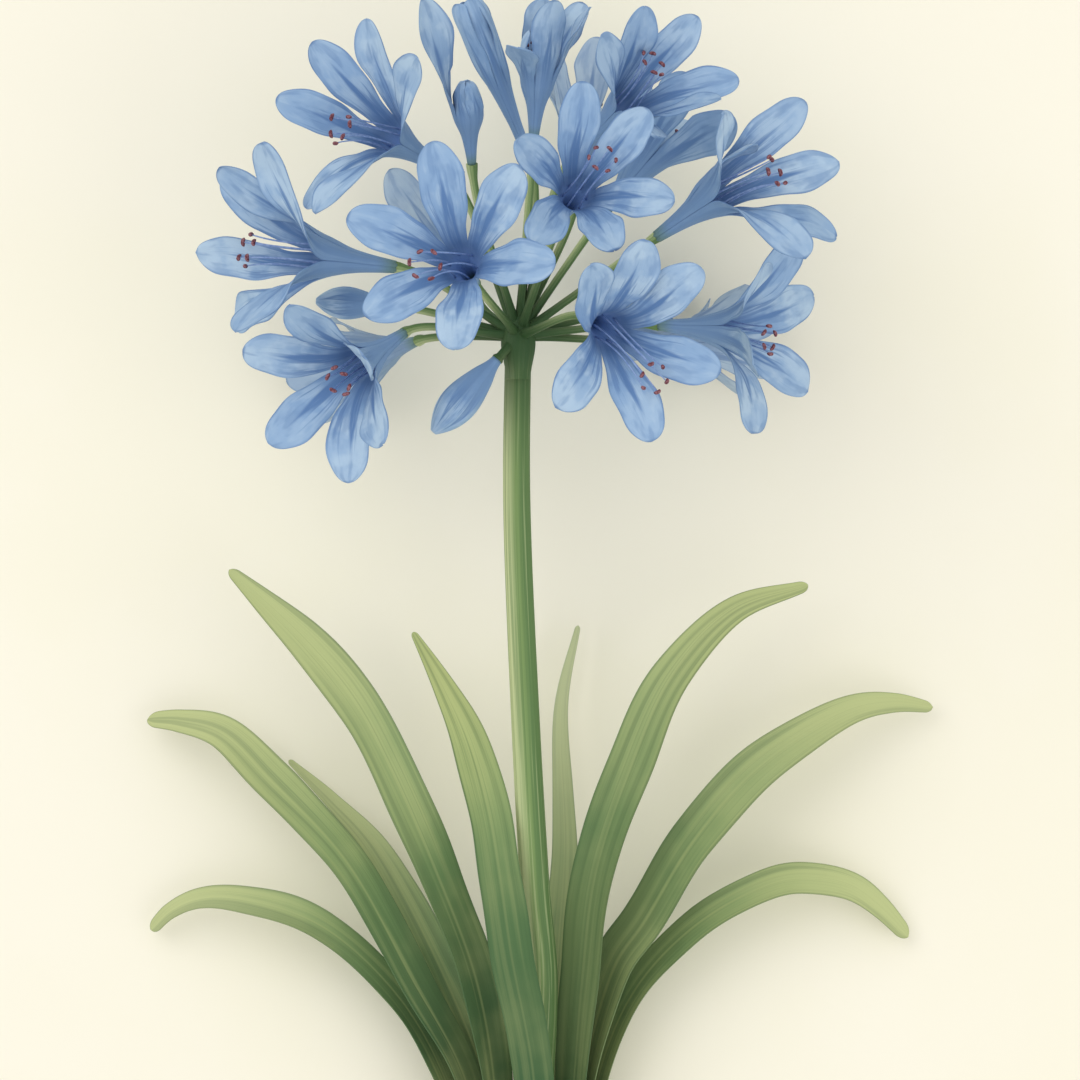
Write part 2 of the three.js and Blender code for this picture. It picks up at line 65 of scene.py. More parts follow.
# Radius at the hub and at the end, which the scene makes slimmer than the solids, and how much
# of the way to the end it starts straight and arrives along the bloom's axis. flare and collar:
# what the radius gains at the hub and at the end. dark: how far from the hub its dark end fades.
PEDICEL = {"hub": 1.35, "end": 1.5, "slim": 0.86, "straight": 0.4, "arrive": 0.3,
           "flare": 0.9, "collar": 0.5, "dark": 45}

# width: at the widest. tip: half width of the blunt tip. taper: share of the length that narrows
# to it. lean: of the face, at the base and the tip, in degrees. tone: how pale its green is.
# route: of the midline.
LEAVES = {
    "leaf_left_high": dict(width=15.8, tip=1.6, taper=0.28, lean=(56, 24), tone=0.35, route=[
        (-8.3, BASE_Y, 17), (-9.2, 49, 22), (-14.5, 80, 28), (-26, 112, 34), (-40, 144.5, 39),
        (-50.5, 164, 40), (-64.5, 181, 38), (-88, 203, 31)]),
    "leaf_left_middle": dict(width=14, tip=2.3, taper=0.28, lean=(60, 24), tone=0.45, route=[
        (-12, BASE_Y, 15), (-18, 49, 19), (-34, 80, 23), (-53.6, 115.4, 27), (-76.3, 139.8, 26),
        (-90.5, 153.5, 20), (-104, 157, 13), (-114, 157.3, 7)]),
    "leaf_left_low": dict(width=11, tip=1.8, taper=0.4, lean=(58, 26), tone=0.55, route=[
        (-16, BASE_Y, 13.5), (-23, 46, 16), (-37.5, 73, 18), (-61, 95, 20), (-85, 103, 17),
        (-98, 103, 13), (-107, 99, 9), (-113, 93, 5)]),
    "leaf_left_behind": dict(width=12, tip=0.8, taper=0.6, lean=(20, 5), tone=0.9, route=[
        (-5, BASE_Y, 5), (-12, 49, 8), (-26, 84, 11), (-45, 119, 13), (-58, 133, 12),
        (-71, 145, 9)]),
    "leaf_centre": dict(width=13, tip=0.9, taper=0.36, lean=(6, 15), tone=0.0, route=[
        (3.5, BASE_Y, 22.5), (3.5, 49, 30), (-3.5, 89, 39), (-6.5, 110, 41), (-10, 131, 40),
        (-16, 152, 36), (-23, 167, 30), (-33, 184, 21)]),
    "leaf_centre_behind": dict(width=9.5, tip=0.8, taper=0.7, lean=(-5, -12), tone=1.5, route=[
        (7, BASE_Y, 4.5), (9, 50, 7.5), (11, 87, 12), (13, 118, 15), (12, 162, 14),
        (17, 186, 11)]),
    "leaf_right_high": dict(width=16.3, tip=1.6, taper=0.42, lean=(-56, -22), tone=0.18, route=[
        (14, BASE_Y, 16.5), (16.4, 50, 20.5), (18.6, 79, 26), (22.5, 112, 32),
        (32.5, 143, 38), (45.3, 171.3, 40), (63.7, 190.8, 36), (86, 198.3, 29)]),
    "leaf_right_middle": dict(width=16.5, tip=1.6, taper=0.42, lean=(-57, -22), tone=0.4, route=[
        (16.6, BASE_Y, 14), (19.5, 50, 17), (28.5, 83, 21), (37, 96, 23), (52, 121, 26),
        (72, 143.5, 25), (99, 160, 18), (113, 162.5, 12), (125, 161, 7)]),
    "leaf_right_low": dict(width=11, tip=2.4, taper=0.3, lean=(-58, -22), tone=0.4, route=[
        (19.6, BASE_Y, 12), (24, 50, 14), (35, 76, 16), (54, 96, 18), (77, 108, 17),
        (89, 109, 15), (100, 106.5, 12), (109, 100, 8), (117.6, 91, 5)]),
}

# Thickness at the base, in the middle and at the edge, and at the tip, and how much of it the
# scene's thinner edge keeps. channel: depth of the hollow at the base and the tip, as a share of
# the half width. wave: of the edges, up and down. uneven: wander and width, as a share of the
# half width. beats: of the waves of the right and the left edge, of the wander and of the width.
LEAF = {"mid": 1.7, "edge": 0.8, "tip": 0.7, "thin_edge": 0.45, "channel": (0.34, 0.12),
        "wave": 0.3, "uneven": 0.02, "beats": (19, 23, 37, 21), "columns": 21}

# The tube, its foot, knee and throat, and the tepal's length, half width and outline. sector:
# half of a tepal's part of the tube, in degrees. lean: at the throat. twist and hook: the most
# that an open tepal turns its face and a closed one bends its tip inward, in degrees.
FLORET = {"tube": 21, "base": 1.9, "knee": 12.6, "throat": 6.4, "wall": 0.95, "lobe": 35,
          "half": 7, "waist": 0.45, "widest": 0.62, "roundness": 2.2, "sector": 30, "lean": 10,
          "twist": 36, "hook": 70}

# The finer form of a tepal. tuck: of an inner one under its neighbours. lopsided: of its width.
# cup: of the face. ruffle and ragged: of the edges. crease: of the midrib. fold: on both sides
# of it.
TEPAL = {"tuck": 0.4, "lopsided": 0.1, "cup": 0.4, "ruffle": 0.55, "ragged": 0.035,
         "crease": 0.28, "fold": 0.16}

# foot: how far inside and below the mouth it starts. gather and spread: how far from the axis it
# is on its way and at its end. filament: radius at both ends. anther: its radius and half length.
STAMEN = {"length": 21, "foot": (2.4, 3), "gather": 2.7, "spread": 4.4, "filament": (0.34, 0.2),
          "anther": (0.66, 1.25)}

# thinnest and tip: the least radius, and the one of the tip. foot and crease: shares of a radius.
BUD = {"thinnest": 0.35, "tip": 0.2, "foot": 0.7, "crease": 0.09, "sides": 48}


def turned(start):
    """Azimuths of six tips that stand evenly round the axis."""
    return tuple(range(start, start + 360, 60))


# base: from the hub. facing: azimuth and elevation of the axis. size: of the whole floret. opened:
# how far the tepals bend outward, and bend: what each one adds, in degrees. tips: azimuths of the
# six tips round the axis. turn: of each face about its midline. long, broad, throat, reach: of
# the tepals' lengths and widths, the throat and the stamens. size and these are shares of the
# usual ones. sway: where the stamens lean, how far. pale: faded, as most of the ones behind are.
FLORETS = {
    "floret_front_left": dict(
        base=(-12.5, 14, 38), facing=(127, 74), size=0.97, opened=44,
        tips=(190, 243, 307, 4, 58, 131), bend=(-4, 0, -2, 2, 0, 2), sway=(0, 9)),
    "floret_front_top": dict(
        base=(13, 33.5, 29.5), facing=(56, 69), size=0.87, opened=38,
        tips=(193, 261, 307, 18, 86, 137), bend=(-2, -1, 2, -8, 8, -1), sway=(262, 7.5)),
    "floret_front_right": dict(
        base=(19, 4, 38.5), facing=(-31, 66), size=0.93, opened=41,
        tips=(224, 282, 349, 27, 65, 159), bend=(2, -4, -2, 3, -4, 3), sway=(245, 14)),
    "floret_left": dict(
        base=(-36, 20, 5), facing=(173, 18), size=1.06, broad=0.82, opened=34,
        tips=(32, 160, 194, 225, 276, 308), bend=(0, 6, -16, 0, -12, 26),
        turn=(50, -48, -30, -25, 20, 20), sway=(275, 7)),
    "floret_top_left": dict(
        base=(-23, 49, 9), facing=(150, 42), size=0.97, broad=0.85, opened=40,
        tips=(138, 192, 236, 292, 352, 18), bend=(0, -9, -20, -24, 22, 10),
        turn=(-30, -12, -20, 10, 0, 5), long=(1, 1, 1, 1, 0.85, 1), sway=(355, 6)),
    "floret_top_half_open": dict(
        base=(-13.5, 49, 20), facing=(94, 24), size=0.72, broad=1.4, opened=-26,
        tips=(15, 51, 119, 187, 255, 323), bend=(26, 0, 0, 0, 0, 0), turn=(50, 0, 0, 0, 0, 0),
        long=(1.53, 0.5, 0.5, 0.5, 0.5, 0.5)),
    "floret_top": dict(
        base=(2.7, 53.5, 2), facing=(112, 4), size=0.87, throat=0.55, opened=-6,
        tips=turned(44)),
    "floret_top_middle": dict(
        base=(4.5, 57, 13), facing=(86, 20), size=0.8, opened=8,
        tips=(10, 68, 112, 170, 224, 270), bend=(-20, 26, -10, 4, 12, -8),
        long=(0.6, 0.7, 1, 0.95, 0.9, 0.85), sway=(270, 0), reach=0.7),
    "floret_top_right": dict(
        base=(18.5, 55.5, 8), facing=(40, 37), size=0.92, broad=0.88, opened=22,
        tips=(46, 134, 170, 228, 290, 4), bend=(14, 22, -10, 4, -6, -8),
        turn=(45, 0, -20, -15, 10, 45), long=(1, 0.6, 1, 1, 1, 1), sway=(342, 4.5)),
    "floret_right": dict(
        base=(40.5, 28.5, 10), facing=(34, 25), size=1.04, broad=0.85, opened=32,
        tips=(56, 150, 218, 244, 296, 342), bend=(4, 19, 28, -4, -20, -40),
        turn=(40, -50, -10, -10, 10, -5), long=(1, 1, 1, 1, 1, 0.55), sway=(200, 4)),
    "floret_right_low": dict(
        base=(41, 3, 4), facing=(-5, 19), size=0.91, opened=46,
        tips=(161, 236, 296, 351, 52, 111), bend=(8, -5, 0, 0, 2, 0), sway=(110, 7)),
    "floret_left_low": dict(
        base=(-33.5, 0.5, 9), facing=(218, 44), size=0.95, opened=35,
        tips=(273, 336, 28, 90, 149, 204), bend=(0, 2, -4, 0, 4, -3), sway=(83, 7)),
    "floret_back_left": dict(
        base=(-12.3, 11.3, -20.2), facing=(120, -32), size=0.86, opened=14,
        tips=turned(18), sway=(270, 2), pale=True),
    "floret_back_right": dict(
        base=(25, 36, -6), facing=(54, -16), size=0.86, broad=1.15, opened=14,
        tips=turned(15), bend=(0, 0, 12, 0, 0, 0), turn=(0, 0, 35, 0, 0, 0), sway=(270, 2)),
    "floret_back_top": dict(
        base=(17.6, 43.2, -17.6), facing=(83, -32), size=0.86, opened=14,
        tips=turned(31), sway=(270, 2), pale=True),
    "floret_back_left_low": dict(
        base=(-29.7, -1, -13.45), facing=(196, -50.6), size=0.86, opened=14,
        tips=turned(31), sway=(270, 2), pale=True),
    "floret_back_right_low": dict(
        base=(38, -1.3, -14.5), facing=(3, -49.6), size=0.86, opened=14,
        tips=turned(8), sway=(270, 2), pale=True),
    "floret_back_middle": dict(
        base=(20.4, 5.5, -7.8), facing=(18.5, -70), size=0.86, opened=14,
        tips=turned(25), sway=(270, 2), pale=True),
}
BUDS = {
    "bud_low": dict(base=(-6, -7, 6), facing=(229, 10), length=29, radius=5.7),
    "bud_left": dict(base=(-38, 9, -6), facing=(176, -6), length=22, radius=5),
}

# The camera stands 1.8 m in front of the umbel's middle plane and looks straight down.
CAMERA = {"x": 5.4, "y": 212, "z": 1835, "lens": 200, "sensor": 36}

# Lights and floor, in metres and watts from the origin of the row frame.
LAMPS = {
    "key": dict(place=(-1.0, 0.9, 1.6), size=1.8, power=10.5),
    "fill": dict(place=(1.3, -0.6, 1.4), size=1.6, power=6),
}
LAMP_AIM = (0, 0, 0.05)
WORLD_LIGHT = 0.87
FLOOR_HALF = 3.0

# Seeds of the first leaf and the first floret, and the next ones count on from them.
LEAF_SEED = 3
FLORET_SEED = 21

# From millimetres round the crown to the row frame's metres.
MM = 0.001
low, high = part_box("crown")
SHIFT = np.array(((low.x + high.x) / 2, low.y, low.z)) - np.array((CROWN["middle"], 0, 0)) * MM

# Small sums -----------------------------------------------------------------------------

ALONG = np.array((0, 1.0, 0))
UP = np.array((0, 0, 1.0))
ROUTE_STEPS = 800


def unit(v):
    return v / np.linalg.norm(v, axis=-1, keepdims=True)


def mix(a, b, t):
    return a + (b - a) * t


def smooth(t):
    """Smooth step from 0 to 1."""
    t = np.clip(t, 0, 1)
    return t * t * (3 - 2 * t)


def direction(azimuth, elevation):
    """Unit vector at an azimuth and an elevation in degrees."""
    a, e = np.radians((azimuth, elevation))
    return np.array((np.cos(e) * np.cos(a), np.cos(e) * np.sin(a), np.sin(e)))


def across(tangent):
    """Level to the right of a tangent, and the direction that is upward from both."""
    right = unit(np.cross(tangent, UP))
    return right, np.cross(right, tangent)


def bezier(a, b, c, d, t):
    """Points and tangents of a cubic Bezier curve."""
    t = np.asarray(t)[:, None]
    s = 1 - t
    point = s ** 3 * a + 3 * s * s * t * b + 3 * s * t * t * c + t ** 3 * d
    tangent = s * s * (b - a) + 2 * s * t * (c - b) + t * t * (d - c)
    return point, unit(tangent)


def catmull(points, t):
    """Point on a centripetal Catmull-Rom curve at the fraction t of its stretches."""
    points = np.array(points, float)
    place = t * (len(points) - 1)
    i = min(int(place), len(points) - 2)
    w = place - i
    before = points[i - 1] if i else 2 * points[0] - points[1]
    p, q = points[i], points[i + 1]
    after = points[i + 2] if i + 2 < len(points) else 2 * points[-1] - points[-2]
    d0, d1, d2 = (np.sum((b - a) ** 2) ** 0.25 for a, b in ((before, p), (p, q), (q, after)))
    start = ((p - before) / d0 - (q - before) / (d0 + d1) + (q - p) / d1) * d1
    end = ((q - p) / d1 - (after - p) / (d1 + d2) + (after - q) / d2) * d1
    return (p + start * w + (3 * (q - p) - 2 * start - end) * w ** 2
            + (2 * (p - q) + start + end) * w ** 3)


def route_at(points, fractions, even=True):
    """Points and tangents of a route, by its length when even, else by its stretches."""
    steps = np.linspace(0, 1, ROUTE_STEPS + 1)
    path = np.array([catmull(points, t) for t in steps])
    if even:
        length = np.r_[0, np.cumsum(np.linalg.norm(np.diff(path, axis=0), axis=1))]
        steps = length / length[-1]
    slope = np.gradient(path, steps, axis=0)
    picked = [np.stack([np.interp(fractions, steps, c) for c in table.T], -1)
              for table in (path, slope)]
    return picked[0], unit(picked[1])


# Meshes ---------------------------------------------------------------------------------


class Shell:
    """Closed skins of one piece. place holds, for each vertex, where it is across the blade
    or stalk, along it, and on which side. tone is one number for a loft or for each ring."""

    def __init__(self):
        self.points = []
        self.place = []
        self.tone = []
        self.faces = []
        self.paint = []
        self.count = 0

    def loft(self, rings, place, tone=0.5, paint=0):
        """Adds a closed skin over rings of points, with its two end rings filled."""
        rings = np.asarray(rings, float)
        rows, count = rings.shape[:2]
        index = self.count + np.arange(rows * count).reshape(rows, count)
        beside = np.roll(index, -1, axis=1)
        quads = np.stack((index[:-1], beside[:-1], beside[1:], index[1:]), -1).reshape(-1, 4)
        faces = [tuple(q) for q in quads.tolist()]
        faces += [tuple(index[0][::-1].tolist()), tuple(index[-1].tolist())]
        if self.volume(rings) < 0:
            faces = [f[::-1] for f in faces]
        self.points.append(rings.reshape(-1, 3))
        self.place.append(np.broadcast_to(place, rings.shape).reshape(-1, 3))
        self.tone.append(np.broadcast_to(np.reshape(tone, (-1, 1)), (rows, count)).ravel())
        self.faces += faces
        self.paint += [paint] * len(faces)
        self.count += rows * count

    @staticmethod
    def volume(rings):
        """Signed volume inside a skin of rings, which is positive when they face outward."""
        a, b = rings[:-1], rings[1:]
        c, d = np.roll(b, -1, axis=1), np.roll(a, -1, axis=1)
        return np.sum(a * np.cross(d, c)) + np.sum(a * np.cross(c, b))

    def finish(self, name, materials, move=None):
        """The piece as a Blender object that rides on the plant."""
        points = np.concatenate(self.points)
        points = (points if move is None else move(points)) * MM + SHIFT
        mesh = bpy.data.meshes.new(name)
        mesh.from_pydata(points.tolist(), [], self.faces)
        mesh.attributes.new("place", "FLOAT_VECTOR", "POINT").data.foreach_set(
            "vector", np.concatenate(self.place).astype(np.float32).ravel())
        mesh.attributes.new("tone", "FLOAT", "POINT").data.foreach_set(
            "value", np.concatenate(self.tone).astype(np.float32))
        for material in materials:
            mesh.materials.append(material)
        mesh.polygons.foreach_set("material_index", self.paint)
        mesh.polygons.foreach_set("use_smooth", [True] * len(mesh.polygons))
        mesh.update()
        piece = bpy.data.objects.new(name, mesh)
        bpy.context.scene.collection.objects.link(piece)
        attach(piece, "root")
        return piece


def place_grid(shape, wide, along, side):
    """What place holds for each vertex of a loft, from parts that broadcast to its shape."""
    return np.stack([np.broadcast_to(part, shape) for part in (wide, along, side)], -1)


def columns_across(count):
    """Places across a blade from -1 to 1, which lie closer together at its edges."""
    return np.sin(np.linspace(-np.pi / 2, np.pi / 2, count))[None]


def add_tube(shell, path, tangents, radius, sides, ridge=0, tone=0.5, paint=0, along=None):
    """A round stalk. radius has one number for each point of the path."""
    angle = np.arange(sides) / sides * 2 * np.pi
    right, up = across(tangents)
    spoke = right[:, None] * np.cos(angle)[:, None] + up[:, None] * np.sin(angle)[:, None]
    fluting = 1 - ridge * (0.5 + 0.5 * np.cos(9 * angle + 1)) * (0.6 + 0.4 * np.cos(4 * angle))
    rings = path[:, None] + spoke * (np.asarray(radius)[:, None] * fluting)[..., None]
    along = np.linspace(0, 1, len(path)) if along is None else along
    place = place_grid(rings.shape[:2], np.cos(angle), along[:, None], np.sin(angle))
    shell.loft(rings, place, tone, paint)


def add_blade(shell, u, centre, side, face, wide, lift, thick, along, tone):
    """A thin closed blade of columns u: its upper face, and its lower one back again. wide and
    lift go from the centre line along side and face, and thick is half of its thickness."""
    upper, lower = (centre[:, None] + side[:, None] * wide[..., None]
                    + face[:, None] * (lift + sign * thick)[..., None] for sign in (1, -1))
    rings = np.concatenate((upper, lower[:, ::-1]), axis=1)
    both = np.concatenate((u, u[:, ::-1]), axis=1)
    faces = np.repeat((1.0, -1.0), u.shape[1])
    shell.loft(rings, place_grid(rings.shape[:2], both, along[:, None], faces), tone)


# Materials ------------------------------------------------------------------------------


def shade(red, green, blue):
    """A colour as seen, 0 to 255, as the renderer's own numbers."""
    c = np.array((red, green, blue)) / 255
    linear = np.where(c <= 0.04045, c / 12.92, ((c + 0.055) / 1.055) ** 2.4)
    return (*linear.tolist(), 1.0)


class Paint:
    """A Principled material, with short names for the nodes behind its colour and bump."""

    def __init__(self, name, roughness, **sockets):
        self.material = bpy.data.materials.new(name)
        self.material.use_nodes = True
        self.tree = self.material.node_tree
        self.shader = self.tree.nodes["Principled BSDF"]
        self.shader.inputs["Roughness"].default_value = roughness
        for socket, value in sockets.items():
            self.shader.inputs[socket.replace("_", " ")].default_value = value

    def node(self, kind, *values, **settings):
        made = self.tree.nodes.new("ShaderNode" + kind)
        for key, value in settings.items():
            setattr(made, key, value)
        for socket, value in zip(made.inputs, values):
            self.put(socket, value)
        return made

    def put(self, socket, value):
        if isinstance(value, bpy.types.NodeSocket):
            self.tree.links.new(value, socket)
        elif value is not None:
            socket.default_value = value

    def math(self, operation, *values):
        return self.node("Math", *values, operation=operation).outputs[0]

    def range(self, value, start, end, low=0.0, high=1.0):
        """Smooth step of a value from start to end, onto low to high."""
        ends = (value, start, end, low, high)
        return self.node("MapRange", *ends, interpolation_type="SMOOTHSTEP").outputs[0]

    def place(self):
        """Sockets of where a point is across, along and on which side."""
        made = self.node("Attribute", attribute_name="place")
        return self.node("SeparateXYZ", made.outputs["Vector"]).outputs

    def tone(self):
        return self.node("Attribute", attribute_name="tone").outputs["Fac"]

    def noise(self, vector, scale, detail=2.0, roughness=0.5):
        made = self.node("TexNoise")
        for socket, value in (("Vector", vector), ("Scale", scale), ("Detail", detail),
                              ("Roughness", roughness)):
            self.put(made.inputs[socket], value)
        return made.outputs["Fac"]

    def solid_noise(self, scale, detail=2.0):
        return self.noise(self.node("TexCoord").outputs["Object"], scale, detail)

    def vector(self, x, y, z):
        return self.node("CombineXYZ", x, y, z).outputs[0]

    def blend(self, factor, a, b):
        """From colour a to b. The Mix node's colours are its sockets 6 and 7, and its result 2."""
        made = self.node("Mix", data_type="RGBA")
        self.put(made.inputs["Factor"], factor)
        self.put(made.inputs[6], a)
        self.put(made.inputs[7], b)
        return made.outputs[2]

    def done(self, colour, height, distance, strength=0.4):
        """The material, with its colour and a bump of a height, in metres."""
        bump = self.node("Bump")
        self.put(bump.inputs["Strength"], strength)
        self.put(bump.inputs["Distance"], distance)
        self.put(bump.inputs["Height"], height)
        self.put(self.shader.inputs["Base Color"], colour)
        self.put(self.shader.inputs["Normal"], bump.outputs[0])
        return self.material


def petal_paint(name, light, mid, deep, throat):
    """Blue tepal: pale washes and deep patches, a dark throat with dark wedges up from it, and
    a thin dark rim. Inside, the tube has painted light against its shade, standing in for light
    through its thin walls, and its foot turns green."""
    p = Paint(name, 0.65, Specular_IOR_Level=0.25)
    # inner is painted light for the tube's inside; foot is the green of the tube's foot.
    inner, foot = shade(152, 186, 232), shade(104, 134, 104)
    x, y, side = p.place()
    tone = p.tone()
    off = p.math("ABSOLUTE", x)
    shift = p.math("MULTIPLY", tone, 9.0)
    streak = p.noise(p.vector(p.math("MULTIPLY", x, 3.0), y, shift), 1.5, 3.0, 0.55)
    fibre = p.noise(p.vector(p.math("MULTIPLY", x, 14.0), y, tone), 2.0, 3.0, 0.6)
    wash = p.solid_noise(120.0, 3.0)

    # Washes and patches, paler toward the tip, and deeper on a tepal of a high tone.
    colour = p.blend(p.range(wash, 0.4, 0.6), mid, light)
    colour = p.blend(p.range(y, 0.25, 0.9, 0.0, 0.5), colour, light)
    colour = p.blend(p.range(tone, 0.2, 0.9, 0.0, 0.6), colour, mid)
    patch = p.noise(p.vector(x, p.math("MULTIPLY", y, 2.0), shift), 1.7, 2.0)
    colour = p.blend(p.range(patch, 0.5, 0.66, 0.0, 0.4), colour, deep)
    colour = p.blend(p.range(patch, 0.46, 0.34, 0.0, 0.4), colour, light)

    # The wedge along the midline, broad bands and fine veins, all from the throat upward.
    wedge = p.range(p.math("SUBTRACT", p.range(y, 0.92, 0.05, 0.0, 0.5), off), 0.0, 0.16)
    wedge = p.math("MULTIPLY", wedge, p.range(streak, 0.34, 0.52, 0.35, 1.0))
    colour = p.blend(wedge, colour, deep)
    band = p.math("MULTIPLY", p.range(streak, 0.54, 0.64), p.range(y, 0.95, 0.35, 0.0, 0.75))
    colour = p.blend(band, colour, deep)
    line = p.math("MULTIPLY", p.range(fibre, 0.54, 0.64), p.range(y, 0.8, 0.1, 0.0, 0.5))
    colour = p.blend(line, colour, deep)
    colour = p.blend(p.range(y, 0.4, 0.02, 0.0, 0.75), colour, throat)

    # The rim, the outside, painted light inside the tube against its shade, and the tube's foot.
    rim = p.math("MULTIPLY", p.math("MAXIMUM", p.range(off, 0.88, 0.98), p.range(y, 0.97, 0.995)),
                 p.range(wash, 0.4, 0.6, 0.3, 0.8))
    colour = p.blend(rim, colour, deep)
    outside = p.math("MULTIPLY", p.range(side, 0.0, -0.5), p.range(y, 0.4, -0.1, 0.15, 0.5))
    colour = p.blend(outside, colour, mid)
    # Painted light: the tube's inside is lightened, as light through its thin walls would do.
    inside = p.math("MULTIPLY", p.range(side, 0.0, 0.5), p.range(y, 0.06, -0.2, 0.0, 0.9))
    colour = p.blend(inside, colour, inner)
    colour = p.blend(p.range(y, -0.42, -0.62, 0.0, 0.7), colour, foot)
    return p.done(colour, fibre, 0.00025, 0.5)


def leaf_paint():
    """Strap leaf: dark green at the base, yellow-green at the tip, with fine ribs. A high tone
    makes a leaf paler, as the ones behind are, and a low one makes it deeper."""
    p = Paint("leaf_green", 0.6, Specular_IOR_Level=0.3)
    base, mid, tip = shade(46, 86, 48), shade(111, 143, 88), shade(183, 192, 128)
    dark, pale = shade(62, 94, 54), shade(196, 202, 164)
    x, y, _ = p.place()
    tone = p.tone()
    off = p.math("ABSOLUTE", x)
    shift = p.math("MULTIPLY", tone, 9.0)
    rib = p.noise(p.vector(p.math("MULTIPLY", x, 9.0), y, shift), 2.2, 3.0, 0.6)
    band = p.noise(p.vector(p.math("MULTIPLY", x, 1.6), y, shift), 1.5, 2.0)
    wash = p.solid_noise(30.0, 3.0)

    # From the base to the tip, with washes, bands and ribs.
    colour = p.blend(p.range(y, 0.12, 0.66), base, mid)
    colour = p.blend(p.range(y, 0.45, 0.95), colour, tip)
    colour = p.blend(p.range(wash, 0.4, 0.64, 0.0, 0.3), colour, tip)
    colour = p.blend(p.range(band, 0.48, 0.64, 0.0, 0.3), colour, tip)
    colour = p.blend(p.range(band, 0.5, 0.34, 0.0, 0.35), colour, dark)
    colour = p.blend(p.range(rib, 0.5, 0.68, 0.0, 0.25), colour, dark)

    # A light midrib and dark edges, and then the leaf's own tone.
    colour = p.blend(p.range(off, 0.1, 0.01, 0.0, 0.3), colour, tip)
    colour = p.blend(p.range(off, 0.86, 0.98, 0.0, 0.5), colour, dark)
    deeper = p.math("MULTIPLY", p.range(tone, 0.45, 0.0, 0.0, 0.6), p.range(y, 0.85, 0.4))
    colour = p.blend(deeper, colour, dark)
    paler = p.math("MULTIPLY", tone, p.range(y, 0.4, 0.95, 0.1, 0.42))
    colour = p.blend(paler, colour, pale)
    return p.done(colour, rib, 0.0003, 0.35)


def stalk_paint():
    """Scape, hub and pedicels: a painted highlight along the left and painted shade along the
    right, dark at the hub, which a tone of one stands for, with long streaks."""
    p = Paint("stalk_green", 0.6, Specular_IOR_Level=0.3)
    light, mid, dark = shade(190, 200, 148), shade(118, 144, 86), shade(84, 116, 66)
    hub = shade(44, 76, 38)
    x, y, up = p.place()
    tone = p.tone()
    along = p.math("MULTIPLY", y, 0.35)
    streak = p.noise(p.vector(p.math("MULTIPLY", x, 4.0), along, p.math("MULTIPLY", up, 4.0)),
                     1.6, 3.0, 0.55)
    # Painted highlight along the left side and painted shade along the right, as from a lamp on
    # the left.
    colour = p.blend(p.range(x, -0.8, 0.0), light, mid)
    colour = p.blend(p.range(x, 0.0, 0.5, 0.0, 0.8), colour, dark)
    colour = p.blend(p.range(streak, 0.52, 0.62, 0.0, 0.5), colour, dark)
    colour = p.blend(p.range(streak, 0.48, 0.38, 0.0, 0.4), colour, light)
    colour = p.blend(p.range(tone, 0.1, 1.0, 0.0, 0.95), colour, hub)
    return p.done(colour, streak, 0.0003, 0.4)


def plain_paint(name, a, b, scale, roughness, distance=0.0002):
    """Two colours in specks, which also roughen the surface."""
    p = Paint(name, roughness, Specular_IOR_Level=0.3)
    speck = p.solid_noise(scale, 4.0)
    return p.done(p.blend(p.range(speck, 0.42, 0.6), a, b), speck, distance)


def crown_paint():
    """Pale rootstock with fibres along it, and rings of leaf bases on its cut face."""
    p = Paint("crown_flesh", 0.75, Specular_IOR_Level=0.2)
    x, y, up = p.place()
    away = p.math("SQRT", p.math("ADD", p.math("MULTIPLY", x, x), p.math("MULTIPLY", up, up)))
    skin = p.range(away, 0.86, 0.97)
    ring = p.noise(p.vector(p.math("MULTIPLY", away, 11.0), x, up), 1.4, 3.0, 0.6)
    fibre = p.noise(p.vector(p.math("MULTIPLY", x, 14.0), y, p.math("MULTIPLY", up, 14.0)),
                    1.0, 4.0, 0.65)
    cut = p.blend(p.range(ring, 0.42, 0.6), shade(222, 220, 184), shade(168, 174, 122))
    outside = p.blend(p.range(fibre, 0.4, 0.65), shade(214, 210, 170), shade(150, 142, 96))
    outside = p.blend(p.range(y, 0.35, 1.0, 0.0, 0.8), outside, shade(128, 150, 96))
    height = p.math("MULTIPLY_ADD", skin, fibre, ring)
    return p.done(p.blend(skin, cut, outside), height, 0.0006, 0.6)


PETAL = petal_paint("petal_blue", shade(174, 198, 220), shade(134, 166, 203),
                    shade(94, 129, 176), shade(96, 130, 176))
PETAL_BEHIND = petal_paint("petal_pale", shade(182, 200, 214), shade(152, 176, 203),
                           shade(110, 138, 178), shade(100, 130, 168))
LEAF_GREEN = leaf_paint()
STALK = stalk_paint()
FILAMENT = plain_paint("filament_pale", shade(142, 165, 206), shade(120, 146, 194), 900.0, 0.5)
ANTHER = plain_paint("anther_maroon", shade(100, 48, 58), shade(144, 96, 102), 1500.0, 0.6)
CROWN_FLESH = crown_paint()

# Leaves ---------------------------------------------------------------------------------


def leaf_half(width, tip, taper, t, length):
    """Half width along a leaf, which narrows to a blunt, rounded tip."""
    full = width / 2 * mix(0.8, 1, smooth(t / 0.35))
    rest = np.clip((1 - t) / taper, 0, 1)
    half = mix(tip, full, np.sin(np.pi / 2 * rest))
    rounding = np.clip(1 - (1 - t) * length / (1.6 * tip), 0, 1)
    return half * np.sqrt(np.maximum(0.02, 1 - rounding ** 2))


